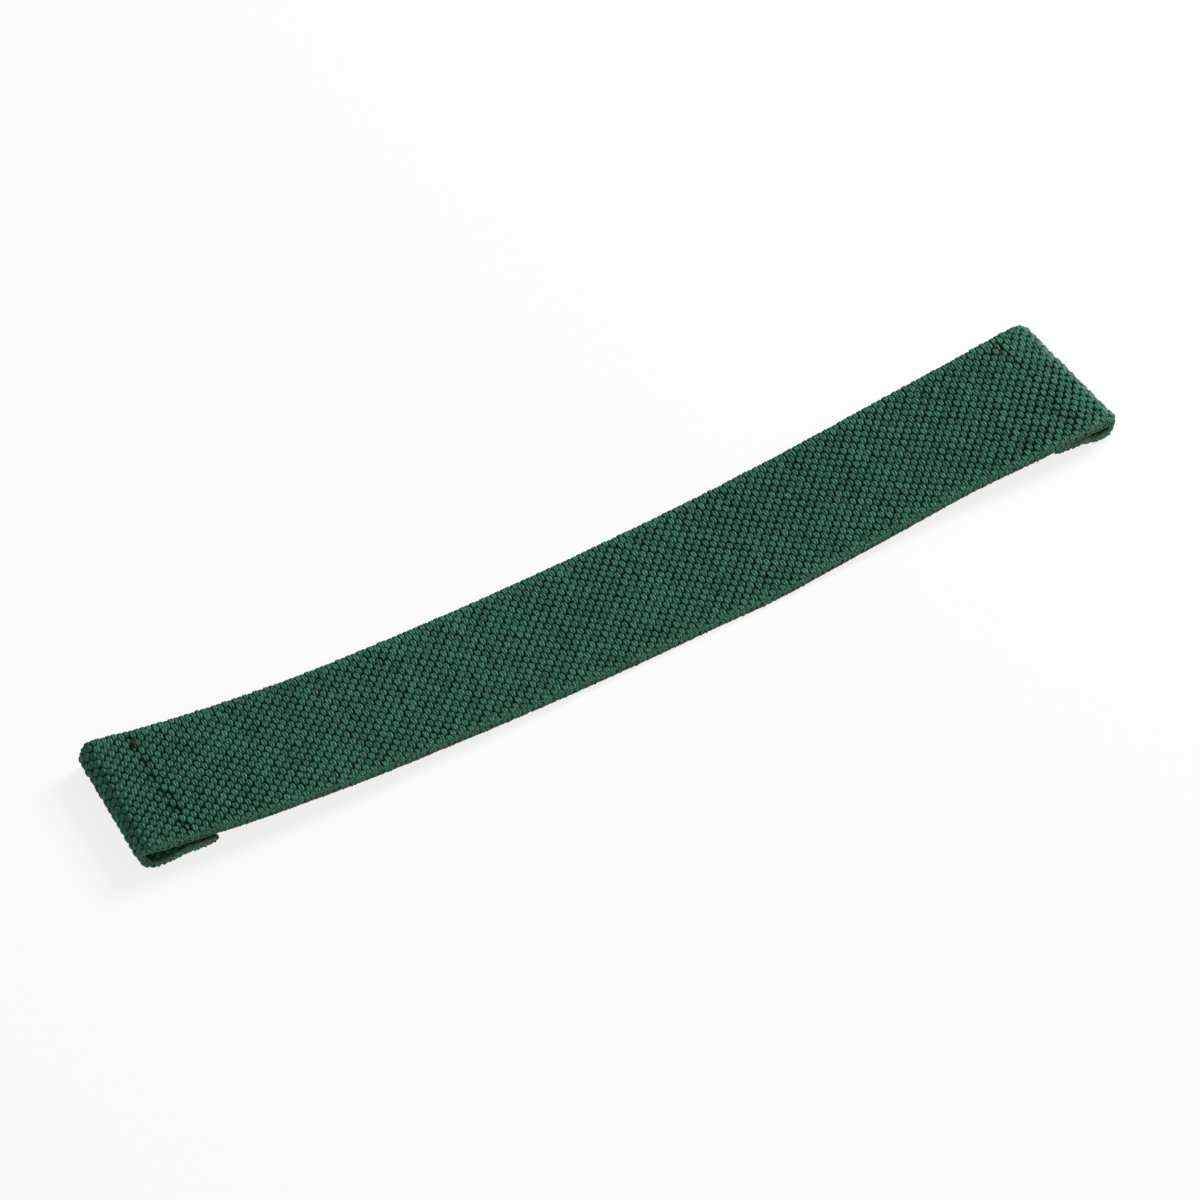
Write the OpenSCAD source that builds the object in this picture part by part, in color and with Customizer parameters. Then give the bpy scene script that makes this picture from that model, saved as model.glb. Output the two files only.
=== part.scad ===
// Webbing strap with a sewn loop at each end.
// One length of heavy woven webbing is folded under at both ends, and each fold is held by one
// cross row of lockstitch, a needle thread on top and a bobbin thread below.
// X runs from the left loop's tip to the right loop's tip, Y across the strap, Z up from the
// surface that the strap lies on.  The origin is the middle of the strap's footprint.

/* [Webbing] */
// Width of the webbing
strap_w = 25.4; // [16:0.1:50]
// Thickness of the webbing
strap_t = 1.8; // [1.4:0.1:2.6]
// Length from loop tip to loop tip along the strap's middle
strap_l = 190.6; // [150:0.1:320]
// How far the woven edges are rounded off
selvedge = 0.5; // [0.1:0.05:0.6]

/* [Left loop] */
// Height of the open sleeve inside the left fold
left_gap = 2.3; // [1:0.1:4]
// Distance from the left tip to its seam
left_seam = 9.1; // [6.5:0.1:16]
// Length of the left tail beyond its seam
left_tail = 4.8; // [2:0.1:15]

/* [Right loop] */
// Height of the open sleeve inside the right fold
right_gap = 0.8; // [0.5:0.1:4]
// Distance from the right tip to its seam
right_seam = 8; // [6:0.1:16]
// Length of the right tail beyond its seam
right_tail = 4; // [2:0.1:15]
// How far the right fold's belly hangs below its sewn tail
right_dip = 1; // [0.2:0.1:1.6]

/* [Stitching] */
// Diameter of the sewing thread
thread_d = 0.45; // [0.3:0.05:0.6]
// Length of one stitch
stitch = 3.65; // [2.5:0.05:5]
// Distance from the far selvedge to the first needle hole
seam_inset = 2.4; // [2:0.1:5]
// Length of the back-tack stitch that locks the far end of a seam
tack = 1.9; // [1.6:0.1:2.4]
// Clearance around the threads in their holes and grooves
thread_clear = 0.05; // [0.03:0.01:0.12]
// How far the pulled-in thread lies below the webbing's faces
thread_sink = 0.08; // [0.05:0.01:0.3]

/* [Lie] */
// Sideways bend of the strap in its left part, in degrees
left_bend_angle = 6.7; // [0:0.1:12]
// Length over which the left part bends sideways
left_bend_run = 32; // [20:1:70]
// Sideways bend of the strap in its right part, in degrees
right_bend_angle = 3.8; // [0:0.1:12]
// Length of the strap that lies flat on the surface near its middle
flat_run = 10; // [2:1:30]
// Length over which the strap rises from the surface to the right tail
right_ramp = 62; // [30:1:80]
// Clearance between the two sewn layers
layer_gap = 0.1; // [0.05:0.01:0.3]

/* [Hidden] */
webbing_green = [0.12, 0.36, 0.28];
thread_olive = [0.20, 0.24, 0.16];

loop_step = 0.45;       // spacing of the strap's rings where it bends in the loops
run_step = 3;           // spacing of the strap's rings along the body
nose_steps = 15;        // rings round each fold
bore_margin = 0.05;     // how far the sleeve's true round cuts past the fold's facets
thread_sides = 8;
straight_margin = 2;    // straight length past each tail before the strap bends sideways
left_slope = -0.04;     // rise per millimetre of the strap over the left fold
tail_slope = 0.03;      // the same at the right tail
nose_slope = -0.12;     // the same over the right fold

// ---- The strap's lie, seen from above -------------------------------------------------
// Straight at both loops, and two gentle bends between them: [length, angle in degrees].
left_tail_s = left_seam + left_tail;
right_tail_s = strap_l - right_seam - right_tail;
right_seam_s = strap_l - right_seam;
right_bend_run = right_tail_s - left_tail_s - 2 * straight_margin - left_bend_run;
bends = [[left_tail_s + straight_margin, 0], [left_bend_run, left_bend_angle],
         [right_bend_run, right_bend_angle], [right_seam + right_tail + straight_margin, 0]];

function along(p, a, run, turn) =
    turn == 0 ? p + run * [cos(a), sin(a)]
              : p + (run * 180 / (PI * turn)) * [sin(a + turn) - sin(a), cos(a) - cos(a + turn)];
// Place and heading at distance s from the left tip: [x, y, heading]
function walk(s, p, a, i) =
    let (run = bends[i][0], turn = bends[i][1])
    s <= run || i == len(bends) - 1
        ? let (q = along(p, a, s, turn * s / run)) [q.x, q.y, a + turn * s / run]
        : walk(s - run, along(p, a, run, turn), a + turn, i + 1);
chord = walk(strap_l, [0, 0], 0, 0);
chord_angle = atan2(chord.y, chord.x);
function plan(s) = walk(s, [0, 0], -chord_angle, 0);

// ---- The strap's lie, seen from the side ----------------------------------------------
function ease(u) = u * u * (3 - 2 * u);
// Cubic through two heights with a slope at each
function rise(s, s0, z0, m0, s1, z1, m1) =
    let (d = s1 - s0, u = (s - s0) / d, v = u * u * (u - 1))
    z0 + (z1 - z0) * ease(u) + d * (m0 * (u - 2 * u * u + u * u * u) + m1 * v);

left_nose = strap_t + left_gap / 2;       // the fold's centre, from its own tip
right_nose = strap_t + right_gap / 2;
right_nose_s = strap_l - right_nose;
right_up = right_tail_s - right_ramp;     // where the strap leaves the surface
left_down = right_up - flat_run;          // where it meets it, coming from the left
right_sewn = strap_t + layer_gap + right_dip;

// Height of the upper layer's underside at distance s from the left tip
function under(s) =
    s < left_down ? rise(s, left_nose, strap_t + left_gap, left_slope, left_down, 0, 0)
    : s < right_up ? 0
    : s < right_tail_s ? rise(s, right_up, 0, 0, right_tail_s, right_sewn, tail_slope)
    : rise(s, right_tail_s, right_sewn, tail_slope,
           right_nose_s, strap_t + right_gap, nose_slope);
function upper(s) = under(s) + strap_t / 2;
function sewn(s) = under(s) - layer_gap - strap_t / 2;
// The lower layer leaves the sewn tail at the seam and comes down to the fold's belly
function lower(s, nose_s, seam_s) =
    let (u = max(0, min(1, (s - nose_s) / (seam_s - nose_s))))
    strap_t / 2 + (sewn(s) - strap_t / 2) * ease(u);

function span(a, b, step) = let (n = max(1, ceil(abs(b - a) / step)))
    [for (i = [0 : n - 1]) a + (b - a) * i / n];
function nose(centre_s, gap, from_a, to_a) =
    [for (i = [0 : nose_steps]) let (a = from_a + (to_a - from_a) * i / nose_steps)
        [centre_s, strap_t + gap / 2] + (gap + strap_t) / 2 * [cos(a), sin(a)]];

// Middle line of the webbing from the left tail's cut end to the right tail's: [s, z]
side_line = concat(
    [for (s = span(left_tail_s, left_nose, loop_step)) [s, lower(s, left_nose, left_seam)]],
    nose(left_nose, left_gap, 270, 90),
    [for (s = span(left_nose, left_tail_s, loop_step)) if (s > left_nose) [s, upper(s)]],
    [for (s = span(left_tail_s, left_down, run_step)) [s, upper(s)]],
    [for (s = span(left_down, right_up, run_step)) [s, upper(s)]],
    [for (s = span(right_up, right_tail_s, run_step)) [s, upper(s)]],
    [for (s = span(right_tail_s, right_nose_s, loop_step)) [s, upper(s)]],
    nose(right_nose_s, right_gap, 90, -90),
    [for (s = span(right_nose_s, right_tail_s, loop_step))
        if (s < right_nose_s) [s, lower(s, right_nose_s, right_seam_s)]],
    [[right_tail_s, lower(right_tail_s, right_nose_s, right_seam_s)]]);

// ---- Sweeping -------------------------------------------------------------------------
function unit(v) = v / norm(v);
function tangent(line, i) =
    unit(line[min(i + 1, len(line) - 1)] - line[max(i - 1, 0)]);

// The webbing's cross section, [across, through], with its woven edges rounded off
function section() =
    let (w = strap_w / 2, t = strap_t / 2, c = selvedge)
    [[w, -t + c], [w, t - c], [w - c, t], [-w + c, t],
     [-w, t - c], [-w, -t + c], [-w + c, -t], [w - c, -t]];

function strap_ring(i) =
    let (at = side_line[i], d = tangent(side_line, i), q = plan(at.x),
         fwd = [cos(q.z), sin(q.z), 0], side = [-sin(q.z), cos(q.z), 0],
         out = -d.y * fwd + [0, 0, d.x])
    [for (k = section()) [q.x, q.y, at.y] + k.x * side + k.y * out];

function tube_ring(line, i, r) =
    let (d = tangent(line, i), ref = abs(d.x) > 0.9 ? [0, 1, 0] : [1, 0, 0],
         a = unit(cross(d, ref)), b = cross(d, a))
    [for (k = [0 : thread_sides - 1]) let (w = 360 * k / thread_sides)
        line[i] + r * (cos(w) * a + sin(w) * b)];

function flatten(rings) = [for (ring = rings) each ring];

module sweep(rings) {
    m = len(rings[0]);
    n = len(rings);
    sides = [for (i = [0 : n - 2], j = [0 : m - 1])
        let (a = i * m + j, b = i * m + (j + 1) % m)
        each [[a, b, b + m], [a, b + m, a + m]]];
    ends = [for (j = [1 : m - 2]) each [[0, j + 1, j],
                                        [(n - 1) * m, (n - 1) * m + j, (n - 1) * m + j + 1]]];
    polyhedron(flatten(rings), [for (f = concat(sides, ends)) [f[0], f[2], f[1]]]);
}

strap_rings = [for (i = [0 : len(side_line) - 1]) strap_ring(i)];
strap_points = flatten(strap_rings);
lo = [min([for (p = strap_points) p.x]), min([for (p = strap_points) p.y])];
hi = [max([for (p = strap_points) p.x]), max([for (p = strap_points) p.y])];
middle = (lo + hi) / 2;

// Moves children from a frame at distance s, across = +Y, to the finished strap
module at_strap(s, z) {
    q = plan(s);
    translate([q.x - middle.x, q.y - middle.y, z]) rotate([0, 0, q.z]) children();
}

// ---- Seams ----------------------------------------------------------------------------
thread_r = thread_d / 2;
leg_gap = 0.06;                              // gap between the two legs of thread in a hole
leg = thread_r + leg_gap / 2;
tack_off = thread_r + thread_clear;          // sideways step of the doubled tack stitch
first_y = strap_w / 2 - seam_inset;
seam_y0 = first_y - tack;
end_slack = 0.4;                             // how much nearer the near selvedge a seam may end
stitches = floor((seam_y0 + strap_w / 2 - seam_inset + end_slack) / stitch);
seam_ys = [for (i = [0 : stitches]) seam_y0 - i * stitch];
hole_r = leg + thread_r + thread_clear;
tack_pull = 0.12;                            // how far the doubled tack stitch widens its holes
tack_hole_r = hole_r + tack_pull;
hole_shift = 0.2;                            // the tack hole is pulled along the seam

function seam_top(s) = under(s) + strap_t;
function seam_mid(s) = under(s) - layer_gap / 2;
function seam_bottom(s) = under(s) - layer_gap - strap_t;

// Corners of a seam thread: surface runs at zs, dips to zd inside the holes: [x, y, z]
function thread_corners(zs, zd) = concat(
    [[tack_off, seam_y0, zd], [tack_off, seam_y0, zs], [tack_off, first_y, zs],
     [tack_off, first_y, zd], [-tack_off, first_y, zd], [-tack_off, first_y, zs],
     [-tack_off, seam_y0, zs], [-tack_off, seam_y0, zd]],
    [for (i = [0 : stitches - 1]) let (out = seam_ys[i] - (i == 0 ? 2 * leg : leg),
                                       in = seam_ys[i + 1] + leg)
        each [[0, out, zd], [0, out, zs], [0, in, zs], [0, in, zd]]]);

// Rounds each corner of a line with a short curve
corner_cut = 0.24;
function rounded(line) = concat([line[0]],
    [for (i = [1 : len(line) - 2])
        let (p = line[i], a = line[i - 1], b = line[i + 1],
             ca = min(corner_cut, norm(a - p) * 0.49), cb = min(corner_cut, norm(b - p) * 0.49),
             pa = p + ca * unit(a - p), pb = p + cb * unit(b - p))
        each [pa, (pa + 2 * p + pb) / 4, pb]],
    [line[len(line) - 1]]);

module seam_thread(s, surface, mid, side) {
    zs = surface - side * (thread_sink + thread_r);
    zd = mid + side * (thread_r + thread_clear);
    line = rounded(thread_corners(zs, zd));
    at_strap(s, 0) sweep([for (i = [0 : len(line) - 1]) tube_ring(line, i, thread_r)]);
}

// Needle holes through both layers, and the grooves that the pulled thread presses in
module seam_cuts(s) {
    top = seam_top(s);
    bottom = seam_bottom(s);
    depth = thread_sink + thread_d + thread_clear;
    over = 1;
    groove = thread_d + 2 * thread_clear;
    wide = groove + 2 * tack_off;
    last_y = seam_ys[stitches];
    at_strap(s, 0) {
        for (y = [for (i = [1 : stitches]) seam_ys[i]])
            translate([0, y, bottom - over]) cylinder(r = hole_r, h = top - bottom + 2 * over, $fn = 32);
        translate([0, seam_y0 - hole_shift, bottom - over])
            cylinder(r = tack_hole_r, h = top - bottom + 2 * over, $fn = 32);
        translate([0, first_y, bottom - over])
            cylinder(r = tack_hole_r, h = top - bottom + 2 * over, $fn = 32);
        for (z = [top - depth, bottom - over]) {
            translate([-groove / 2, last_y, z]) cube([groove, seam_y0 - last_y, depth + over]);
            translate([-wide / 2, seam_y0, z]) cube([wide, tack, depth + over]);
        }
    }
}

// ---- Pieces ---------------------------------------------------------------------------
module sleeve(s, gap) {
    at_strap(s, strap_t + gap / 2) rotate([90, 0, 0])
        cylinder(r = gap / 2 + bore_margin, h = strap_w + 4, center = true, $fn = 64);
}

module webbing() {
    color(webbing_green) difference() {
        translate([-middle.x, -middle.y, 0]) sweep(strap_rings);
        sleeve(left_nose, left_gap);
        sleeve(right_nose_s, right_gap);
        seam_cuts(left_seam);
        seam_cuts(right_seam_s);
    }
}

module needle_thread(s) {
    color(thread_olive) seam_thread(s, seam_top(s), seam_mid(s), 1);
}

module bobbin_thread(s) {
    color(thread_olive) seam_thread(s, seam_bottom(s), seam_mid(s), -1);
}

webbing();
needle_thread(left_seam);  // left_needle_thread
bobbin_thread(left_seam);  // left_bobbin_thread
needle_thread(right_seam_s);  // right_needle_thread
bobbin_thread(right_seam_s);  // right_bobbin_thread
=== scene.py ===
"""Woven webbing strap with a sewn loop at each end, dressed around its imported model."""

import math

import bmesh
import bpy
import numpy as np
from mathutils import Matrix, Vector


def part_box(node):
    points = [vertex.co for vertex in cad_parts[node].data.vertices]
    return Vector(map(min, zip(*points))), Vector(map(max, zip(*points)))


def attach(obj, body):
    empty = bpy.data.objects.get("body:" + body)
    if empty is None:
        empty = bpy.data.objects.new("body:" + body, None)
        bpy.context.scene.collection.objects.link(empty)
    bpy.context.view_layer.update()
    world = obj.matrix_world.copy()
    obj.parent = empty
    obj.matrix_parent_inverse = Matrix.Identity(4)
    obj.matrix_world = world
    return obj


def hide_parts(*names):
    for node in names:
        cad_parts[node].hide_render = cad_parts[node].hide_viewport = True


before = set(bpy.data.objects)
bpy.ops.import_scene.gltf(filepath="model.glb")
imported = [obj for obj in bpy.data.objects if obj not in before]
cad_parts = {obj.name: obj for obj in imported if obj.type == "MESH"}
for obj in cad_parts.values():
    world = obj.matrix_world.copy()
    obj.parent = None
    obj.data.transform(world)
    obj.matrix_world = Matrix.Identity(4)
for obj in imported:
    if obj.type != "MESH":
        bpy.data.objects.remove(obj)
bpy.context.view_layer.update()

# ---- Camera -----------------------------------------------------------------------------
# A long lens from the strap's near left, about 48 degrees above the surface, turned a little
# about its own axis.
MM = 0.001
azimuth, elevation, roll = math.radians(-32.94), math.radians(47.65), math.radians(-1.1)
distance, nearest, farthest = 2.809, 0.1, 50
picture_px, pixels_per_mm, sensor_mm = 1200, 5.9675, 36
aim_right, aim_up = 0.15 * MM, 1.36 * MM

right = Vector((math.cos(azimuth), math.sin(azimuth), 0))
back = Vector((math.sin(azimuth) * math.cos(elevation),
               -math.cos(azimuth) * math.cos(elevation), math.sin(elevation)))
up = back.cross(right)
camera_data = bpy.data.cameras.new("camera")
camera_data.sensor_width = sensor_mm
camera_data.lens = sensor_mm * pixels_per_mm / MM * distance / picture_px
camera_data.clip_start, camera_data.clip_end = nearest, farthest
camera = bpy.data.objects.new("camera", camera_data)
bpy.context.scene.collection.objects.link(camera)
turned_right = right * math.cos(roll) - up * math.sin(roll)
turned_up = right * math.sin(roll) + up * math.cos(roll)
camera.matrix_world = (Matrix.Translation(back * distance + right * aim_right + up * aim_up)
                       @ Matrix((turned_right, turned_up, back)).transposed().to_4x4())
bpy.context.scene.camera = camera


# ---- Table and light --------------------------------------------------------------------
# A plain white table under one broad lamp at the far right, a weaker one at the near left and
# an even surround.
class Socket:
    """A socket in a node tree.  Arithmetic on it adds Math nodes to the tree."""

    def __init__(self, tree, link=None):
        self.tree, self.link = tree, link

    def node(self, kind, inputs=None, output=None, **settings):
        """Adds a node, sets it up, fills its inputs and gives one of its outputs."""
        made = self.tree.nodes.new(kind)
        for name, value in settings.items():
            if name == "stops":
                for k, (place, colour) in enumerate(value):
                    stops = made.color_ramp.elements
                    stop = stops[k] if k < 2 else stops.new(place)
                    stop.position, stop.color = place, colour
            else:
                setattr(made, name, value)
        for name, value in (inputs or {}).items():
            if isinstance(name, str):
                socket = next(s for s in made.inputs if s.enabled and s.name == name)
            else:
                socket = made.inputs[name]
            if isinstance(value, Socket):
                self.tree.links.new(value.link, socket)
            else:
                socket.default_value = value
        given = [s for s in made.outputs if s.enabled and output in (None, s.name)]
        return Socket(self.tree, given[0]) if given else None

    def other(self, name):
        """Another output of the same node."""
        return Socket(self.tree, self.link.node.outputs[name])

    def maths(self, operation, *values):
        return self.node("ShaderNodeMath", dict(enumerate(values)), operation=operation)

    def vector(self, operation, *values):
        return self.node("ShaderNodeVectorMath", dict(enumerate(values)), operation=operation)

    def __add__(self, other):
        return self.maths("ADD", self, other)

    def __sub__(self, other):
        return self.maths("SUBTRACT", self, other)

    def __rsub__(self, other):
        return self.maths("SUBTRACT", other, self)

    def __mul__(self, other):
        return self.maths("MULTIPLY", self, other)

    __radd__, __rmul__ = __add__, __mul__


def new_material(name):
    """A material whose nodes are cleared, and the socket maker for its tree."""
    made = bpy.data.materials.new(name)
    made.use_nodes = True
    made.node_tree.nodes.clear()
    return made, Socket(made.node_tree)


white, board_tone = (1, 1, 1, 1), (0.86, 0.86, 0.86, 1)
white_share, table_width, surround_light = 0.82, 12, 0.28
white_table, board = new_material("white_table")
seen = board.node("ShaderNodeLightPath", output="Is Camera Ray")
shown_white = (seen + seen.other("Is Glossy Ray") + seen.other("Is Transmission Ray")) * white_share
board.node("ShaderNodeOutputMaterial", {"Surface": board.node("ShaderNodeMixShader", {
    0: shown_white,
    1: board.node("ShaderNodeBsdfDiffuse", {"Color": board_tone}),
    2: board.node("ShaderNodeEmission", {"Color": white, "Strength": 1.0})})})
bpy.ops.mesh.primitive_plane_add(size=table_width)
table = bpy.context.object
table.name = "table"
table.data.materials.append(white_table)

world = bpy.data.worlds.new("surround")
bpy.context.scene.world = world
world.use_nodes = True
world.node_tree.nodes.clear()
sky = Socket(world.node_tree)
sky_seen = sky.node("ShaderNodeLightPath", output="Is Camera Ray")
sky.node("ShaderNodeOutputWorld", {"Surface": sky.node("ShaderNodeBackground", {
    "Color": white, "Strength": sky_seen * (1 - surround_light) + surround_light})})
bpy.context.scene.view_settings.view_transform = "Standard"


def lamp(name, toward, far, size, watts):
    """A square lamp that stands in that direction and faces the strap."""
    data = bpy.data.lights.new(name, "AREA")
    data.size, data.energy = size, watts
    made = bpy.data.objects.new(name, data)
    bpy.context.scene.collection.objects.link(made)
    made.location = Vector(toward).normalized() * far
    made.rotation_euler = Vector(toward).to_track_quat("Z", "Y").to_euler()


lamp("key_lamp", toward=(0.81, 0.19, 0.56), far=1.2, size=0.4, watts=17.4)
lamp("fill_lamp", toward=(-0.6, -0.9, 0.7), far=1.4, size=0.9, watts=2.0)


# ---- Warp -------------------------------------------------------------------------------
# The lengthwise yarns of synthetic fibre, side by side and hidden under the weft.  The strap is
# one length of this webbing, folded under at both ends, and every other yarn is bent along the
# same path.
strap_w, strap_t, strap_l = 25.4 * MM, 1.8 * MM, 190.6 * MM
# Each loop's opening height, its seam's distance from the tip and its tail past the seam.
left_gap, left_seam, left_tail = 2.3 * MM, 9.1 * MM, 4.8 * MM
right_gap, right_seam, right_tail = 0.8 * MM, 8 * MM, 4 * MM
# From the left loop the strap comes down to the table, lies flat on it for a short run and climbs
# a long ramp to the right loop, whose tail stays a dip's height above the table.
flat_run, right_ramp, right_dip, layer_gap = 10 * MM, 62 * MM, 1 * MM, 0.1 * MM
left_slope, tail_slope, nose_slope = -0.04, 0.03, -0.12
# Seen from above, it bends sideways twice between its straight ends.
left_bend_angle, left_bend_run = math.radians(6.7), 32 * MM
right_bend_angle, straight_margin = math.radians(3.8), 2 * MM

# A name that ends in _s is a distance from the left tip, seen from the side.
left_tail_s = left_seam + left_tail
right_tail_s = strap_l - right_seam - right_tail
right_seam_s = strap_l - right_seam
# Stretch by stretch: its length, and how far it turns.
bends = [(left_tail_s + straight_margin, 0), (left_bend_run, left_bend_angle),
         (right_tail_s - left_tail_s - 2 * straight_margin - left_bend_run, right_bend_angle),
         (right_seam + right_tail + straight_margin, 0)]
left_nose = strap_t + left_gap / 2
right_nose = strap_t + right_gap / 2
right_nose_s = strap_l - right_nose
right_up_s = right_tail_s - right_ramp
left_down_s = right_up_s - flat_run
right_sewn = strap_t + layer_gap + right_dip


def walk(s):
    """Place and heading at distance s from the left tip, before the strap is set straight."""
    x, y, heading = 0.0, 0.0, 0.0
    for k, (run, turn) in enumerate(bends):
        part = s if k == len(bends) - 1 else min(s, run)
        now = heading + turn * part / run
        if turn == 0:
            x, y = x + part * math.cos(heading), y + part * math.sin(heading)
        else:
            x += run / turn * (math.sin(now) - math.sin(heading))
            y += run / turn * (math.cos(heading) - math.cos(now))
        heading, s = now, s - part
        if s <= 0:
            break
    return x, y, heading


chord_x, chord_y, _ = walk(strap_l)
chord_angle = math.atan2(chord_y, chord_x)


def plan(s):
    """Place and heading at distance s from the left tip, seen from above."""
    x, y, heading = walk(s)
    c, d = math.cos(chord_angle), math.sin(chord_angle)
    return x * c + y * d, -x * d + y * c, heading - chord_angle


def ease(u):
    return u * u * (3 - 2 * u)


def rise(s, s0, z0, m0, s1, z1, m1):
    """A cubic through two heights with a slope at each."""
    run = s1 - s0
    u = (s - s0) / run
    return z0 + (z1 - z0) * ease(u) + run * (m0 * (u - 2 * u * u + u ** 3) + m1 * u * u * (u - 1))


def under(s):
    """Height of the upper layer's underside."""
    if s < left_down_s:
        return rise(s, left_nose, strap_t + left_gap, left_slope, left_down_s, 0, 0)
    if s < right_up_s:
        return 0.0
    if s < right_tail_s:
        return rise(s, right_up_s, 0, 0, right_tail_s, right_sewn, tail_slope)
    at_nose = strap_t + right_gap
    return rise(s, right_tail_s, right_sewn, tail_slope, right_nose_s, at_nose, nose_slope)


def lower(s, nose_s, seam_s):
    """Middle height of the folded-under layer, from the fold's belly to the sewn tail."""
    u = max(0.0, min(1.0, (s - nose_s) / (seam_s - nose_s)))
    return strap_t / 2 + (under(s) - layer_gap - strap_t) * ease(u)


path_step, nose_points = 0.05 * MM, 60


def nose(centre_s, gap, from_a, to_a):
    """The half circle of a fold."""
    radius = (gap + strap_t) / 2
    return [(centre_s + radius * math.cos(a), strap_t + gap / 2 + radius * math.sin(a))
            for a in np.radians(np.linspace(from_a, to_a, nose_points))]


def stretch(a, b):
    """Distances from a to b, one step apart."""
    return np.linspace(a, b, max(2, int(abs(b - a) / path_step)))


# The webbing's middle line from its left cut end round both folds, seen from the side, and how
# far along the webbing each of its points lies.
side_line = np.array(
    [(s, lower(s, left_nose, left_seam)) for s in stretch(left_tail_s, left_nose)][:-1]
    + nose(left_nose, left_gap, 270, 90)[:-1]
    + [(s, under(s) + strap_t / 2) for s in stretch(left_nose, right_nose_s)][:-1]
    + nose(right_nose_s, right_gap, 90, -90)[:-1]
    + [(s, lower(s, right_nose_s, right_seam_s)) for s in stretch(right_nose_s, right_tail_s)])
walked = np.concatenate([[0], np.cumsum(np.linalg.norm(np.diff(side_line, axis=0), axis=1))])
cut_length = walked[-1]
plan_margin, plan_count = 2 * MM, 800
plan_s = np.linspace(-plan_margin, strap_l + plan_margin, plan_count)
plan_rows = np.array([plan(s) for s in plan_s])
# The webbing's heading at a place is taken over this distance to each side.
look = 0.2 * MM


def side_at(u):
    """Distance from the left tip and height at length u from the left cut end."""
    return np.array([np.interp(u, walked, side_line[:, 0]), np.interp(u, walked, side_line[:, 1])])


def station(u):
    """Middle of the webbing at length u from its left cut end, and two directions there: across
    to the far selvedge, and out of the face that shows on top."""
    inside = max(look, min(cut_length - look, u))
    d = side_at(inside + look) - side_at(inside - look)
    d /= np.linalg.norm(d)
    s, z = side_at(inside) + d * (u - inside)
    x, y, heading = (np.interp(s, plan_s, plan_rows[:, k]) for k in range(3))
    forward = np.array([math.cos(heading), math.sin(heading), 0])
    out = -d[1] * forward + np.array([0, 0, d[0]])
    return np.array([x, y, z]), np.array([-math.sin(heading), math.cos(heading), 0]), out


# The strap's box, walked along its bevelled corners, says how far it moves to lie in the frame.
half_w, half_t, bevel, box_rows = strap_w / 2, strap_t / 2, 0.5 * MM, 900
outermost = [(half_w, half_t - bevel), (half_w - bevel, half_t),
             (-half_w, half_t - bevel), (bevel - half_w, half_t),
             (half_w, bevel - half_t), (-half_w, bevel - half_t)]
corners = [point + y * across + z * out
           for point, across, out in (station(u) for u in np.linspace(0, cut_length, box_rows))
           for y, z in outermost]
middle = (np.min(corners, axis=0) + np.max(corners, axis=0)) / 2
cad_low, cad_high = (np.array(c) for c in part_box("webbing"))
to_frame = ((cad_low + cad_high) / 2 - middle) * np.array([1, 1, 0])

# The line along which all cloth is bent.  It runs on a little past both cut ends.
overrun, fold_step = 3 * MM, 0.1 * MM
fold_data = bpy.data.meshes.new("fold_line")
fold_stations = [station(u) for u in np.arange(-overrun, cut_length + overrun, fold_step)]
fold_data.from_pydata([tuple(p + to_frame) for p, _, _ in fold_stations],
                      [(k, k + 1) for k in range(len(fold_stations) - 1)], [])
for k, label in ((1, "across"), (2, "out")):
    made = fold_data.attributes.new(label, "FLOAT_VECTOR", "POINT")
    made.data.foreach_set("vector", np.array([row[k] for row in fold_stations], np.float32).ravel())
fold_line = bpy.data.objects.new("fold_line", fold_data)
bpy.context.scene.collection.objects.link(fold_line)


def new_tree(name, inputs):
    """A geometry tree with named inputs, and the socket maker for it."""
    tree = bpy.data.node_groups.new(name, "GeometryNodeTree")
    for label, kind in inputs.items():
        tree.interface.new_socket(name=label, in_out="INPUT", socket_type="NodeSocket" + kind)
    tree.interface.new_socket(name="Cloth", in_out="OUTPUT", socket_type="NodeSocketGeometry")
    return tree, Socket(tree)


def given(tree, label):
    """One of the tree's own inputs."""
    return tree.node("NodeGroupInput", output=label)


def attribute(tree, label):
    """A vector that each point carries."""
    return tree.node("GeometryNodeInputNamedAttribute", {"Name": label}, "Attribute",
                     data_type="FLOAT_VECTOR")


def folded(tree, flat):
    """Bends flat cloth along the fold line: x is length along it, y across and z outwards.  What
    would reach under the table is pressed flat on it."""
    line = tree.node("GeometryNodeMeshToCurve", {"Mesh": tree.node(
        "GeometryNodeObjectInfo", {"Object": given(tree, "Fold line")}, "Geometry")})
    split = tree.node("ShaderNodeSeparateXYZ", {"Vector": tree.node("GeometryNodeInputPosition")})
    places = []
    for label, step in (("across", "Y"), ("out", "Z")):
        reached = tree.node("GeometryNodeSampleCurve", {
            "Curves": line, "Value": attribute(tree, label),
            "Length": split.other("X") + overrun}, "Value", data_type="FLOAT_VECTOR", mode="LENGTH")
        places.append(tree.node("ShaderNodeVectorMath", {0: reached, "Scale": split.other(step)},
                                operation="SCALE"))
    place = places[0].vector("ADD", places[0], places[1])
    place = place.vector("ADD", place, reached.other("Position"))
    place = tree.node("ShaderNodeSeparateXYZ", {0: place})
    return tree.node("GeometryNodeSetPosition", {
        "Geometry": flat, "Position": tree.node("ShaderNodeCombineXYZ", {
            0: place, 1: place.other("Y"), 2: place.maths("MAXIMUM", place.other("Z"), 0.0)})})


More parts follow.
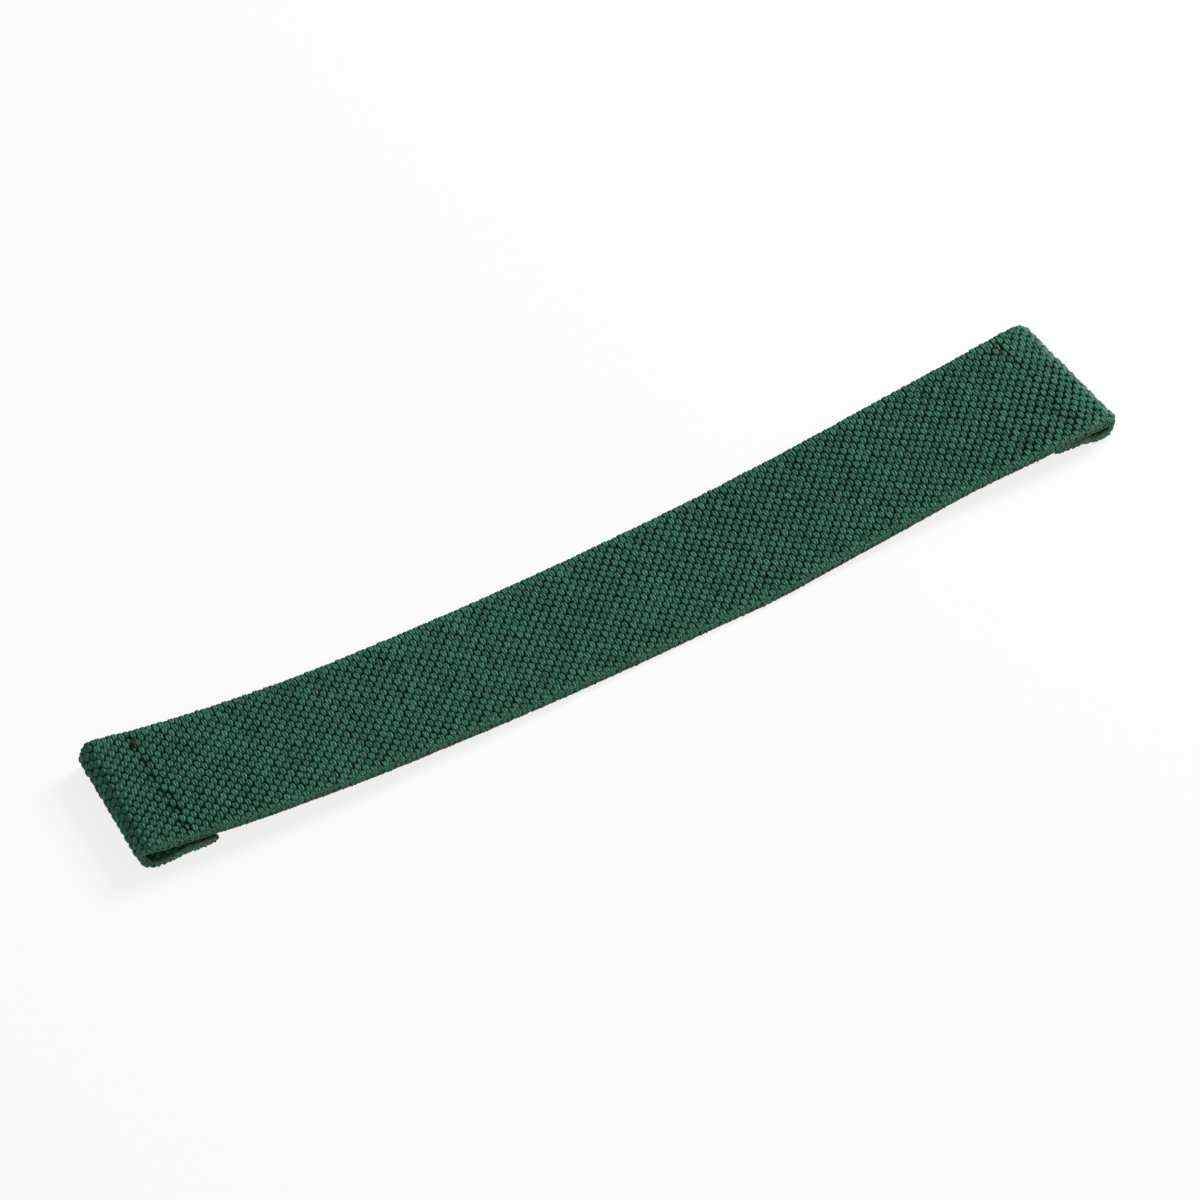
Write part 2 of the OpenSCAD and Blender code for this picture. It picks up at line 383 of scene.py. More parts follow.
def finish_piece(piece, tree, values, drop=()):
    """Runs a geometry tree on a piece with those inputs, keeps the result as a plain mesh without
    the attributes to drop, and sets the piece on the strap's one body."""
    modifier = piece.modifiers.new("weave", "NODES")
    modifier.node_group = tree
    for socket in tree.interface.items_tree:
        if socket.name in values:
            modifier[socket.identifier] = values[socket.name]
    bpy.context.view_layer.update()
    evaluated = piece.evaluated_get(bpy.context.evaluated_depsgraph_get())
    plain = bpy.data.meshes.new_from_object(evaluated)
    piece.modifiers.clear()
    piece.data = plain
    for label in drop:
        if label in plain.attributes:
            plain.attributes.remove(plain.attributes[label])
    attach(piece, "root")


def new_piece(name, verts, faces):
    """A closed smooth mesh at the origin, its faces pointing outwards."""
    data = bpy.data.meshes.new(name)
    data.from_pydata([tuple(v) for v in verts], [], faces)
    shell = bmesh.new()
    shell.from_mesh(data)
    bmesh.ops.recalc_face_normals(shell, faces=shell.faces)
    shell.to_mesh(data)
    shell.free()
    for face in data.polygons:
        face.use_smooth = True
    made = bpy.data.objects.new(name, data)
    bpy.context.scene.collection.objects.link(made)
    return made


def tube_faces(rings, around):
    """The faces of a closed tube of that many rings."""
    sides = [(a * around + k, a * around + (k + 1) % around,
              (a + 1) * around + (k + 1) % around, (a + 1) * around + k)
             for a in range(rings - 1) for k in range(around)]
    return sides + [tuple(range(around)), tuple(range((rings - 1) * around, rings * around))]


def crossing(s, on_top):
    """Length along the webbing at which it passes distance s from the left tip."""
    if on_top:
        chosen = (walked > left_tail_s) & (walked < cut_length - left_tail_s)
    elif s < strap_l / 2:
        chosen = walked < left_tail_s
    else:
        chosen = walked > cut_length - left_tail_s
    rows = np.nonzero(chosen)[0]
    return float(walked[rows[np.argmin(abs(side_line[rows, 0] - s))]])


fold_centres = [(crossing(left_nose, False) + crossing(left_nose, True)) / 2,
                (crossing(right_nose_s, False) + crossing(right_nose_s, True)) / 2]
flare, flare_reach = 0.036, 16 * MM
corner_loss, corner_reach = 0.050, 2.6 * MM
left_fold, right_fold = fold_centres
# Where along the webbing an edge bows out, over what reach, and how far.
near_bows = [(4 * MM, 11 * MM, 1.0 * MM), (left_fold - 1.5 * MM, 7 * MM, -0.65 * MM),
             (left_fold + 14 * MM, 22 * MM, 0.42 * MM), (135 * MM, 16 * MM, 0.35 * MM),
             (right_fold - 16 * MM, 18 * MM, 0.75 * MM), (right_fold, 26 * MM, 0.8 * MM),
             (right_fold + 6 * MM, 8 * MM, 0.25 * MM)]
far_bows = [(left_fold, 8 * MM, 0.2 * MM), (137 * MM, 75 * MM, 0.42 * MM)]


def near_fold(u, reach):
    """1 at a fold's middle, easing to 0 at that reach from it."""
    return ease(max(0.0, 1 - min(abs(u - c) for c in fold_centres) / reach))


def spread(u, y):
    """Where the seat at y across lies at length u.  The folds press the strap wider, its corners
    are rounded off, and its edges bow out a little here and there, most beside the seams."""
    wide = 1 + flare * near_fold(u, flare_reach) - corner_loss * near_fold(u, corner_reach)
    bow = sum(most * ease(max(0.0, 1 - abs(u - centre) / reach))
              for centre, reach, most in (near_bows if y < 0 else far_bows))
    return y * (wide + bow / half_w)


warp_ends, warp_pitch = 28, 0.895 * MM
warp_half, warp_rib, rib_steps = 0.10 * MM, 0.10 * MM, 4
warp_step, warp_margin = 0.5 * MM, 0.1 * MM
section = [((k / rib_steps - warp_ends / 2) * warp_pitch * face,
            face * (warp_half + warp_rib * abs(math.sin(math.pi * k / rib_steps))))
           for face in (1, -1) for k in range(rib_steps * warp_ends + 1)]
warp_rows = np.linspace(warp_margin, cut_length - warp_margin, int(cut_length / warp_step))
warp = new_piece("warp", [(u, spread(u, y), z) for u in warp_rows for y, z in section],
                 tube_faces(len(warp_rows), len(section)))


def fibre_material(name, dark, pale, fineness, rough):
    """Matt fibre whose tone wanders between two shades, with a fine grain."""
    made, dye = new_material(name)
    place = dye.node("ShaderNodeTexCoord", output="Object")
    lint, wear = (dye.node("ShaderNodeTexNoise", {
        "Vector": place, "Scale": scale, "Detail": detail}, "Fac")
        for scale, detail in ((fineness, 3.0), (fineness / 6, 2.0)))
    shade = dye.node("ShaderNodeValToRGB", {"Fac": lint * 0.5 + wear * 0.5},
                     stops=[(0.36, dark), (0.66, pale)])
    grain = dye.node("ShaderNodeBump", {"Height": lint, "Strength": 0.5, "Distance": 0.04 * MM})
    dye.node("ShaderNodeOutputMaterial", {"Surface": dye.node("ShaderNodeBsdfPrincipled", {
        "Base Color": shade, "Roughness": rough, "Specular IOR Level": 0.2, "Normal": grain})})
    return made


# The warp's two shades are nearly black: painted shade for the deep pits between the floats, where
# the warp shows.
warp_painted_shade_dye = fibre_material("warp_yarn_painted_shade", dark=(0.001, 0.010, 0.006, 1),
                          pale=(0.003, 0.024, 0.014, 1), fineness=2500.0, rough=0.9)

lay_warp, loom = new_tree("lay_warp", {"Flat": "Geometry", "Fold line": "Object",
                                       "Material": "Material"})
bent = loom.node("GeometryNodeRealizeInstances", {"Geometry": folded(loom, given(loom, "Flat"))})
loom.node("NodeGroupOutput", {"Cloth": loom.node("GeometryNodeSetMaterial", {
    "Geometry": bent, "Material": given(loom, "Material")})})
finish_piece(warp, lay_warp, {"Fold line": fold_line, "Material": warp_painted_shade_dye})
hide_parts("webbing")


# ---- Weft -------------------------------------------------------------------------------
# Doubled crosswise yarns of the same fibre, the picks.  They float over every second warp end as
# plump pebbles of two strands, on both faces, each row shifted by one warp end against the next.
# They lie closer over the folds, and the seams pull a few of them in.
# Places across a yarn, as shares of its half width.  Its two strands crest at strand_x.
yarn_x = [-1.0, -0.85, -0.46, -0.18, 0.0, 0.18, 0.46, 0.85, 1.0]
strand_x, yarn_flank, groove_curve = 0.46, 0.42, 1.3


def yarn_form(name, bases, crests, halves, grooves):
    """A short doubled yarn.  Ring by ring: where its base and its crest are, as (across, height)
    in millimetres, its half width, and how deep the groove between its two strands is."""
    verts, along = [], []
    for k, (base, crest) in enumerate(zip(np.array(bases), np.array(crests))):
        for x in yarn_x:
            if abs(x) > strand_x:
                h = (1 - ((abs(x) - strand_x) / (1 - strand_x)) ** 2) ** yarn_flank
            else:
                h = 1 - grooves[k] * (1 - abs(x) / strand_x) ** groove_curve
            y, z = base + (crest - base) * h
            verts.append((x * halves[k] * MM, y * MM, z * MM))
            along.append((k / (len(bases) - 1), (x + 1) / 2))
    made = new_piece(name, verts, tube_faces(len(bases), len(yarn_x)))
    streaks = made.data.uv_layers.new(name="yarn")
    for loop in made.data.loops:
        streaks.data[loop.index].uv = along[loop.vertex_index]
    return made


seam_lengths = [crossing(left_seam, False), crossing(left_seam, True),
                crossing(right_seam_s, True), crossing(right_seam_s, False)]
marks = [0.0] + seam_lengths + [cut_length]
pick_pitch = 1.027 * MM
# How much closer the picks lie in each stretch between two marks: only over the two folds.
closings = [0, 0.12, 0, 0.20, 0]
picks = []
for a, b, closing in zip(marks, marks[1:], closings):
    count = round((b - a) / pick_pitch * (1 + closing))
    for t in [(k + 0.5) / count for k in range(count)]:
        picks.append(a + (b - a) * (t + closing * math.sin(2 * math.pi * t) / (2 * math.pi)))
seam_opening, opening_reach, beside = 0.03 * MM, 1.3 * MM, 0.9 * MM
picks = [u + sum(math.copysign(seam_opening * math.exp(-abs(u - m) / opening_reach), u - m)
                 for m in seam_lengths) for u in picks]
beside_seam = [min(abs(u - m) for m in seam_lengths) < beside for u in picks]

# Where across the strap the seams' holes lie: the back-tack's outer end first.
stitches, stitch, seam_inset, tack = 5, 3.65 * MM, 2.4 * MM, 1.9 * MM
first_y = half_w - seam_inset
seam_y0 = first_y - tack
seam_ys = [seam_y0 - k * stitch for k in range(stitches + 1)]

fold_reach = 4.5 * MM
left_press, right_press = np.array([-0.16, -0.08, -0.08]), np.array([0.05, 0.04, 0.30])


def pressed(u):
    """How a float's length along the strap, width and height change where the strap folds."""
    change = left_press if u < cut_length / 2 else right_press
    return 1 + change * near_fold(u, fold_reach)


# A float swells bluntly from its two ends to its middle.
pebble_end, blunt = 0.895, 0.24
pebble_y = [-pebble_end, -0.72, -0.38, 0.0, 0.38, 0.72, pebble_end]
pebble_swell = [max(0.0, math.cos(math.pi / 2 * y / pebble_end)) for y in pebble_y]
pebble_tilt, pebble_slant = -0.15, -0.11
pebble = yarn_form("pebble_form",
                   [(y, -0.11 + 0.35 * f ** blunt) for y, f in zip(pebble_y, pebble_swell)],
                   [(y, 0.14 + 0.76 * f ** blunt) for y, f in zip(pebble_y, pebble_swell)],
                   [0.27 + 0.36 * f for f in pebble_swell],
                   [0.22 * (0.3 + 0.7 * f) for f in pebble_swell])

lay_weft, loom = new_tree("lay_weft", {
    "Seats": "Geometry", "Yarn": "Object", "Lean": "Float", "Uneven": "Float", "Shift": "Float",
    "Seed": "Int", "Fold line": "Object", "Material": "Material"})


def random_between(amount, seed_step):
    """A random value from minus to plus that amount, for each seat."""
    return loom.node("FunctionNodeRandomValue", {
        "Min": amount * -1.0, "Max": amount, "Seed": given(loom, "Seed") + seed_step},
        data_type="FLOAT")


def random_vector(label, seed_step, middle_value):
    """Three such values about a middle one."""
    three = [random_between(given(loom, label), seed_step + k) + middle_value for k in range(3)]
    return loom.node("ShaderNodeCombineXYZ", dict(enumerate(three)))


spun = loom.node("FunctionNodeEulerToRotation", {"Euler": attribute(loom, "spin")})
leaned = loom.node("FunctionNodeEulerToRotation", {"Euler": random_vector("Lean", 1, 0.0)})
turned = loom.node("FunctionNodeRotateRotation", {
    "Rotation": spun, "Rotate By": leaned}, rotation_space="LOCAL")
size = random_vector("Uneven", 4, 1.0)
shifted = loom.node("GeometryNodeSetPosition", {
    "Geometry": given(loom, "Seats"), "Offset": random_vector("Shift", 7, 0.0)})
laid = loom.node("GeometryNodeInstanceOnPoints", {
    "Points": shifted,
    "Instance": loom.node("GeometryNodeObjectInfo", {"Object": given(loom, "Yarn")}, "Geometry"),
    "Rotation": turned, "Scale": size.vector("MULTIPLY", size, attribute(loom, "size"))})
toned = loom.node("GeometryNodeStoreNamedAttribute", {
    "Geometry": laid, "Name": "tone", "Value": loom.node("FunctionNodeRandomValue", {
        "Min": 0.0, "Max": 1.0, "Seed": given(loom, "Seed")}, data_type="FLOAT")},
    data_type="FLOAT", domain="INSTANCE")
bent = folded(loom, loom.node("GeometryNodeRealizeInstances", {"Geometry": toned}))
loom.node("NodeGroupOutput", {"Cloth": loom.node("GeometryNodeSetMaterial", {
    "Geometry": bent, "Material": given(loom, "Material")})})


def lay(name, rows, yarn, seed, material, lean=0.12, uneven=0.08, shift=0.045 * MM):
    """Lays a yarn form on each seat, (place, spin, size) on the flat cloth, and folds the cloth."""
    data = bpy.data.meshes.new(name)
    data.from_pydata([tuple(row[0]) for row in rows], [], [])
    for k, label in ((1, "spin"), (2, "size")):
        made = data.attributes.new(label, "FLOAT_VECTOR", "POINT")
        made.data.foreach_set("vector", np.array([row[k] for row in rows], np.float32).ravel())
    piece = bpy.data.objects.new(name, data)
    bpy.context.scene.collection.objects.link(piece)
    finish_piece(piece, lay_weft, {
        "Yarn": yarn, "Lean": lean, "Uneven": uneven, "Shift": shift, "Seed": seed,
        "Fold line": fold_line, "Material": material}, drop=("spin", "size"))
    return piece


# The first colour is a near-black green, painted shade for each yarn's flanks, the groove between
# its strands and its tips; the second is the pale of lint specks.
painted_shade_green, lint_pale = (0.001, 0.018, 0.009, 1), (0.20, 0.24, 0.19, 1)
cloud_fineness, dust_fineness = 150.0, 1100.0
streaks_along, streaks_across, streak_jump = 3.0, 16.0, 90.0


def yarn_material(name, dark, pale, rough=0.56):
    """Spun filament yarn: tone differs from float to float, with fine streaks along the yarn,
    and its flanks, the groove between its strands and the tips of each float get painted shade."""
    made, dye = new_material(name)
    place = dye.node("ShaderNodeTexCoord", output="Object")
    tone = dye.node("ShaderNodeAttribute", output="Fac", attribute_name="tone")
    along = dye.node("ShaderNodeSeparateXYZ", {0: dye.node("ShaderNodeUVMap", uv_map="yarn")})
    streak_place = dye.node("ShaderNodeCombineXYZ", {
        0: along * streaks_along, 1: along.other("Y") * streaks_across, 2: tone * streak_jump})
    streak = dye.node("ShaderNodeTexNoise", {
        "Vector": streak_place, "Scale": 1.0, "Detail": 2.0}, "Fac")
    cloud = dye.node("ShaderNodeTexNoise", {
        "Vector": place, "Scale": cloud_fineness, "Detail": 3.0}, "Fac")
    shade = dye.node("ShaderNodeValToRGB", {"Fac": tone * 0.25 + streak * 0.5 + cloud * 0.25},
                     stops=[(0.3, dark), (0.7, pale)])
    across = dye.maths("ABSOLUTE", along.other("Y") * 2.0 - 1.0)
    lengthwise = dye.maths("ABSOLUTE", along * 2.0 - 1.0)
    # Painted shade: the colour is mixed toward near-black green on the yarn's flanks, along the
    # groove between its two strands and toward both tips of a float.
    flank_painted_shade, groove_painted_shade, tip_painted_shade = (dye.node("ShaderNodeMapRange", {
        "Value": value, "From Min": start, "From Max": stop, "To Max": deepest},
        interpolation_type="SMOOTHSTEP") for value, start, stop, deepest in (
            (across, 0.6, 1.0, 0.7), (across, 0.3, 0.0, 0.5), (lengthwise, 0.55, 1.0, 0.6)))
    shaded = dye.node("ShaderNodeMix", {
        "Factor": flank_painted_shade + groove_painted_shade + tip_painted_shade, "A": shade, "B": painted_shade_green}, data_type="RGBA")
    dust = dye.node("ShaderNodeTexNoise", {
        "Vector": place, "Scale": dust_fineness, "Detail": 1.0}, "Fac")
    speck = dye.node("ShaderNodeMapRange", {
        "Value": dust, "From Min": 0.74, "From Max": 0.80, "To Max": 0.6})
    shaded = dye.node("ShaderNodeMix", {
        "Factor": speck, "A": shaded, "B": lint_pale}, data_type="RGBA")
    grain = dye.node("ShaderNodeBump", {"Height": streak, "Strength": 0.6, "Distance": 0.05 * MM})
    dye.node("ShaderNodeOutputMaterial", {"Surface": dye.node("ShaderNodeBsdfPrincipled", {
        "Base Color": shaded, "Roughness": streak * 0.2 + (rough - 0.1),
        "Specular IOR Level": 0.35, "Normal": grain})})
    return made


weft_dye = yarn_material("weft_yarn", dark=(0.007, 0.088, 0.052, 1), pale=(0.025, 0.190, 0.116, 1))
# Size and depth, in millimetres, of a float beside the left and the right seam, first between
# its holes and then at one.
pulled = [(((0.93, 0.98, 1), 0.03), ((0.56, 0.86, 0.88), 0.20)),
          (((1, 1, 1), 0.02), ((0.82, 0.96, 0.94), 0.12))]
hole_reach = 0.62 * MM


def pebbles(from_pick, to_pick):
    """Seats of the pebbles of a run of picks on both faces, apart from the last at each edge."""
    rows = []
    for face, side in ((0, 1), (1, -1)):
        spin = (face * math.pi, side * pebble_tilt, side * pebble_slant)
        for k in range(from_pick, to_pick):
            for end in range((k + face) % 2, warp_ends, 2):
                if 0 < end < warp_ends - 1:
                    y = (end + 0.5 - warp_ends / 2) * warp_pitch
                    size, sunk = pressed(picks[k]), 0.0
                    if beside_seam[k]:
                        at_hole = min(abs(y - hole) for hole in seam_ys + [first_y]) < hole_reach
                        size, sunk = pulled[picks[k] > cut_length / 2][at_hole]
                    rows.append(((picks[k], spread(picks[k], y), -side * sunk * MM), spin, size))
    return rows


left_loop_end = next(k for k, u in enumerate(picks) if u > seam_lengths[1] + left_tail)
right_loop_start = next(k for k, u in enumerate(picks) if u > seam_lengths[2] - right_tail)
body_parts = 4
edges = [0] + [round(left_loop_end + (right_loop_start - left_loop_end) * k / body_parts)
               for k in range(body_parts + 1)] + [len(picks)]
names = ["left_loop_weft"] + [f"body_weft_{k + 1}" for k in range(body_parts)] + ["right_loop_weft"]
first_seed = 11
cloth_pieces = [lay(name, pebbles(a, b), pebble, first_seed + a, weft_dye)
                for name, a, b in zip(names, edges, edges[1:])]
bpy.data.objects.remove(pebble)


# ---- Selvedges --------------------------------------------------------------------------
# The outermost warp ends stand along each edge.  A pick's yarn comes out of its last float,
# turns down over them and goes back under the other face.  At the near edge a band of fine
# knitted catch thread in two shades holds the turns.
# The edge warps' outline: distance in from the edge and height, in millimetres.
edge_warp = [(0.34, -0.42), (0.45, -0.55), (0.95, -0.55), (0.95, 0.55), (0.45, 0.55), (0.34, 0.42)]
edge_dye = fibre_material("edge_warp_yarn", dark=(0.004, 0.045, 0.026, 1),
                          pale=(0.010, 0.085, 0.050, 1), fineness=2500.0, rough=0.9)
for edge, side in (("near", -1), ("far", 1)):
    piece = new_piece(f"{edge}_edge_warp", [
        (u, spread(u, side * half_w) - side * inward * MM, z * MM)
        for u in warp_rows for inward, z in edge_warp], tube_faces(len(warp_rows), len(edge_warp)))
    finish_piece(piece, lay_warp, {"Fold line": fold_line, "Material": edge_dye})
    cloth_pieces.append(piece)

turn = yarn_form("turn_form",
                 [(1.79, -0.20), (1.50, 0.00), (0.95, 0.08), (0.62, 0.08), (0.48, -0.05),
                  (0.45, -0.25), (0.60, -0.35), (1.20, -0.32)],
                 [(1.79, 0.05), (1.50, 0.62), (0.95, 0.90), (0.42, 0.80), (0.09, 0.38),
                  (0.07, -0.30), (0.34, -0.66), (1.20, -0.60)],
                 [0.28, 0.46, 0.58, 0.51, 0.47, 0.46, 0.46, 0.34],
                 [0.05, 0.12, 0.20, 0.18, 0.14, 0.12, 0.12, 0.05])
# How a turn is set at each edge, where its pick comes off the upper face or off the lower one.
half_turn = math.pi
spins = {("near", True): (0, 0, 0), ("near", False): (0, half_turn, 0),
         ("far", True): (0, 0, half_turn), ("far", False): (half_turn, 0, 0)}
pulled_turn = (0.88, 1, 0.95)
for edge, side, broader, seed in (("near", -1, 1.14, 501), ("far", 1, 1.0, 502)):
    rows = []
    for k, u in enumerate(picks):
        over = (k % 2 == 0) == (edge == "near")
        size = pulled_turn if beside_seam[k] else pressed(u)
        rows.append(((u, spread(u, side * half_w), 0), spins[edge, over],
                     (size[0] * broader, size[1], size[2])))
    cloth_pieces.append(lay(f"{edge}_selvedge", rows, turn, seed, weft_dye, lean=0.06))
bpy.data.objects.remove(turn)

lower_dye = yarn_material("catch_thread", dark=(0.030, 0.115, 0.062, 1),
                          pale=(0.092, 0.225, 0.130, 1), rough=0.65)
upper_dye = yarn_material("upper_catch_thread", dark=(0.028, 0.150, 0.085, 1),
                          pale=(0.085, 0.295, 0.182, 1), rough=0.62)
link_y = [-0.36, -0.22, 0.0, 0.22, 0.36]
link_swell = [math.cos(math.pi / 2 * y / 0.40) for y in link_y]
link = yarn_form("link_form", [(y, 0.0) for y in link_y],
                 [(y, 0.04 + 0.14 * f ** 0.5) for y, f in zip(link_y, link_swell)],
                 [0.09 + 0.09 * f ** 0.5 for f in link_swell], [0.1] * len(link_y))
# The two links at a pick: how far along it starts, in picks, its size and how deep it sits.
plain_links = [(0.0, (1, 1, 1), 0.0), (0.5, (1, 1, 1), 0.0)]
looped_links = [(0.0, (1.25, 1.1, 1.15), 0.0), (0.5, (0.88, 0.95, 0.85), 0.13)]
# Row by row down the edge: height and depth in millimetres, lean in degrees, and the links.
shoulder_z, loop_dip, last_margin = 0.52, 0.09, 0.4 * MM
upper_links = [(shoulder_z, 0.28, 75, plain_links), (0.26, 0.18, -35, looped_links)]
lower_links = [(-0.03, 0.16, 35, looped_links), (-0.30, 0.16, -35, looped_links),
               (-0.53, 0.18, 62, plain_links), (-0.68, 0.34, -78, plain_links)]
for name, links, made_of, seed in (("upper_catch_thread", upper_links, upper_dye, 603),
                                   ("lower_catch_thread", lower_links, lower_dye, 605)):
    rows = []
    for z, inside, lean, kinds in links:
        for k, u in enumerate(picks):
            for half, size, sunk in kinds:
                # Along the shoulder the band lets every other pick's float through.
                if z == shoulder_z and k % 2 == 0 and half == 0:
                    continue
                deeper = loop_dip * (k % 2) if kinds is looped_links else 0.0
                place = (min(u + half * pick_pitch, cut_length - last_margin),
                         spread(u, -half_w) + (inside + sunk + deeper) * MM, z * MM)
                rows.append((place, (math.pi / 2, math.radians(lean), 0), size))
    cloth_pieces.append(lay(name, rows, link, seed, made_of, lean=0.28, uneven=0.22))
bpy.data.objects.remove(link)


# ---- Cut ends ---------------------------------------------------------------------------
# Each end of the webbing is cut square and has frayed a little: every warp end sticks out as a
# short tuft, and one pale fibre has come loose along the left tail.  The back-tacks of the two
# seams are frayed in the same way.
tuft = yarn_form("tuft_form",
                 [(-0.30, -0.10), (0.00, -0.12), (0.22, -0.10), (0.40, -0.05)],
                 [(-0.30, 0.12), (0.00, 0.16), (0.22, 0.12), (0.40, 0.02)],
                 [0.22, 0.26, 0.20, 0.07], [0.3, 0.3, 0.3, 0.1])
tuft_heights, tuft_spread = (-0.42, -0.12, 0.18, 0.46), 0.99
rows = []
for u, turn_round in ((0.0, math.pi / 2), (cut_length, -math.pi / 2)):
    for z in tuft_heights:
        for end in range(2 * warp_ends):
            y = (end / 2 + 0.25 - warp_ends / 2) * warp_pitch * tuft_spread
            rows.append(((u, spread(u, y), z * MM), (0, 0, turn_round), (1, 1, 1)))
cloth_pieces.append(lay("cut_end_tufts", rows, tuft, 701, weft_dye, lean=0.35, uneven=0.4,
                        shift=0.10 * MM))

fuzz_dye = yarn_material("tack_fuzz", dark=(0.006, 0.009, 0.004, 1),
                         pale=(0.075, 0.060, 0.034, 1), rough=0.7)
# Short ends of thread along the back-tack, each turned on from the last.
fuzz_ys, fuzz_z, fuzz_turn, fuzz_size = np.linspace(8.5, 10.4, 22), 0.58, 2.4, (0.4, 1.15, 0.45)
rows = [((u, y * MM, fuzz_z * MM), (0, 0, k * fuzz_turn), fuzz_size)
        for u in seam_lengths[1:3] for k, y in enumerate(fuzz_ys)]
tack_fuzz = lay("tack_fuzz", rows, tuft, 711, fuzz_dye, lean=0.8, uneven=0.3, shift=0.22 * MM)
bpy.data.objects.remove(tuft)

fibre_half, fibre_points = 0.07 * MM, 48
fibre_ring = [(math.cos(a), math.sin(a)) for a in np.radians(range(0, 360, 60))]
fibre_rows = []
for u in np.linspace(-0.3, 4.4, fibre_points):
    inside = 0.15 + 0.10 * math.sin(2.1 * u) + 0.05 * math.sin(5.3 * u + 1)
    y, z = spread(u * MM, -half_w) + inside * MM, -0.78 + 0.08 * math.sin(1.3 * u + 2)
    fibre_rows += [(u * MM, y + a * fibre_half, z * MM + b * fibre_half) for a, b in fibre_ring]
fibre = new_piece("loose_fibre", fibre_rows, tube_faces(fibre_points, len(fibre_ring)))
fibre_dye = fibre_material("loose_fibre", dark=(0.05, 0.045, 0.030, 1),
                           pale=(0.20, 0.17, 0.12, 1), fineness=900.0, rough=0.8)
finish_piece(fibre, lay_warp, {"Fold line": fold_line, "Material": fibre_dye})
cloth_pieces.append(fibre)


# ---- Seam threads -----------------------------------------------------------------------
# Each loop is held by one row of lockstitch in dull three-ply sewing thread, a needle thread on
# top and a bobbin thread below, pulled into the cloth between two picks, with a back-tack at the
# far edge.
thread_r = 0.225 * MM
leg_gap, thread_clear, thread_sink, tack_sink = 0.06 * MM, 0.05 * MM, 0.48 * MM, 0.14 * MM
# Two legs of thread share each hole, and the back-tack's runs lie to both sides of the seam.
leg = thread_r + leg_gap / 2
tack_off = thread_r + thread_clear
corner_cut, most_of_run = 0.24 * MM, 0.49


def thread_corners(zs, zd, zt):
    """Corners of a seam thread: the back-tack's two runs, side by side at height zt, and then the
    stitches at height zs.  In between it dips to zd inside the holes."""
    line = [(tack_off, seam_y0, zd), (tack_off, seam_y0, zt), (tack_off, first_y, zt),
            (tack_off, first_y, zd), (-tack_off, first_y, zd), (-tack_off, first_y, zt),
            (-tack_off, seam_y0, zt), (-tack_off, seam_y0, zd)]
    for k in range(stitches):
        start = seam_ys[k] - (2 * leg if k == 0 else leg)
        end = seam_ys[k + 1] + leg
        line += [(0, start, zd), (0, start, zs), (0, end, zs), (0, end, zd)]
    return [np.array(p) for p in line]


def rounded(line):
    """The line with each corner cut by a short curve."""
    made = [line[0]]
    for before, p, after in zip(line, line[1:], line[2:]):
        cuts = []
        for way in (before - p, after - p):
            run = np.linalg.norm(way)
            cuts.append(p + way / run * min(corner_cut, run * most_of_run))
        made += [cuts[0], (cuts[0] + 2 * p + cuts[1]) / 4, cuts[1]]
    return made + [line[-1]]


twist_thread, spool = new_tree("twist_thread", {
    "Line": "Geometry", "Radius": "Float", "Plies": "Float", "Lay": "Float", "Step": "Float",
    "Material": "Material"})
even = spool.node("GeometryNodeResampleCurve", {
    "Curve": spool.node("GeometryNodeMeshToCurve", {"Mesh": given(spool, "Line")}),
    "Length": given(spool, "Step")}, mode="LENGTH")
travelled = spool.node("GeometryNodeSplineParameter", output="Length")
twisted = spool.node("GeometryNodeSetCurveTilt", {
    "Curve": even,
    "Tilt": travelled.maths("DIVIDE", travelled * (2 * math.pi), given(spool, "Lay"))})
ring_points, ply_depth = 15, 0.13
ring = spool.node("GeometryNodeCurvePrimitiveCircle", {
    "Resolution": ring_points, "Radius": 1.0}, "Curve")
ring_at = spool.node("ShaderNodeSeparateXYZ", {0: spool.node("GeometryNodeInputPosition")})
turn_angle = ring_at.maths("ARCTAN2", ring_at.other("Y"), ring_at.other("X"))
plied = turn_angle.maths("COSINE", turn_angle * given(spool, "Plies"))
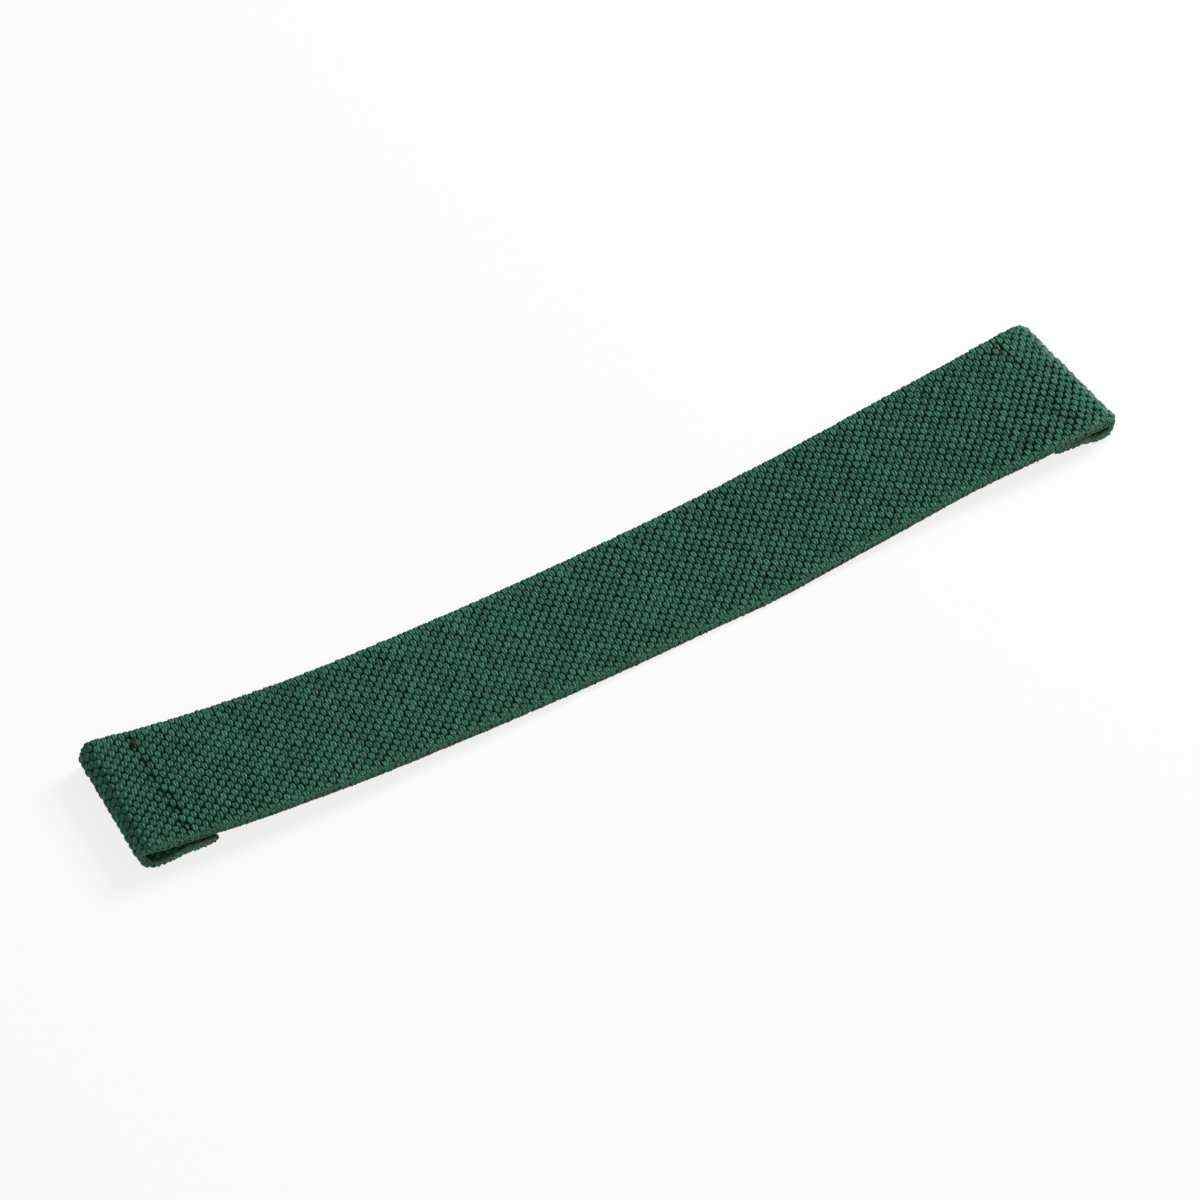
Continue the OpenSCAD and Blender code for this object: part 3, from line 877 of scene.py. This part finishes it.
bulge = plied * ply_depth + (1 - ply_depth)
profile = spool.node("GeometryNodeSetPosition", {
    "Geometry": ring, "Position": spool.node("ShaderNodeVectorMath", {
        0: spool.node("GeometryNodeInputPosition"), "Scale": bulge * given(spool, "Radius")},
        operation="SCALE")})
tube = spool.node("GeometryNodeCurveToMesh", {
    "Curve": twisted, "Profile Curve": profile, "Fill Caps": True})
spool.node("NodeGroupOutput", {"Cloth": spool.node("GeometryNodeSetMaterial", {
    "Geometry": spool.node("GeometryNodeRealizeInstances", {"Geometry": tube}),
    "Material": given(spool, "Material")})})

thread_dye = fibre_material("seam_thread", dark=(0.005, 0.032, 0.017, 1),
                            pale=(0.024, 0.070, 0.036, 1), fineness=2800.0, rough=0.65)
ply_count, ply_lay, thread_step = 3.0, 1.4 * MM, 0.1 * MM
seams = [("left", left_seam, seam_lengths[1]), ("right", right_seam_s, seam_lengths[2])]
for end, s, seam_u in seams:
    x, y, heading = plan(s)
    ahead = np.array([math.cos(heading), math.sin(heading), 0])
    across = np.array([-math.sin(heading), math.cos(heading), 0])
    seam_place = np.array([x, y, 0]) + to_frame
    faces = {"needle": (under(s) + strap_t, 1), "bobbin": (under(s) - layer_gap - strap_t, -1)}
    for kind, (surface, side) in faces.items():
        zs = surface - side * (thread_sink + thread_r)
        zt = surface - side * (tack_sink + thread_r)
        zd = under(s) - layer_gap / 2 + side * (thread_r + thread_clear)
        line = [seam_place + p[0] * ahead + spread(seam_u, p[1]) * across + np.array([0, 0, p[2]])
                for p in rounded(thread_corners(zs, zd, zt))]
        name = f"{end}_{kind}_seam"
        data = bpy.data.meshes.new(name)
        data.from_pydata([tuple(p) for p in line], [(k, k + 1) for k in range(len(line) - 1)], [])
        piece = bpy.data.objects.new(name, data)
        bpy.context.scene.collection.objects.link(piece)
        finish_piece(piece, twist_thread, {
            "Radius": thread_r, "Plies": ply_count, "Lay": ply_lay, "Step": thread_step,
            "Material": thread_dye})
        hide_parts(f"{end}_{kind}_thread")
bpy.data.objects.remove(fold_line)
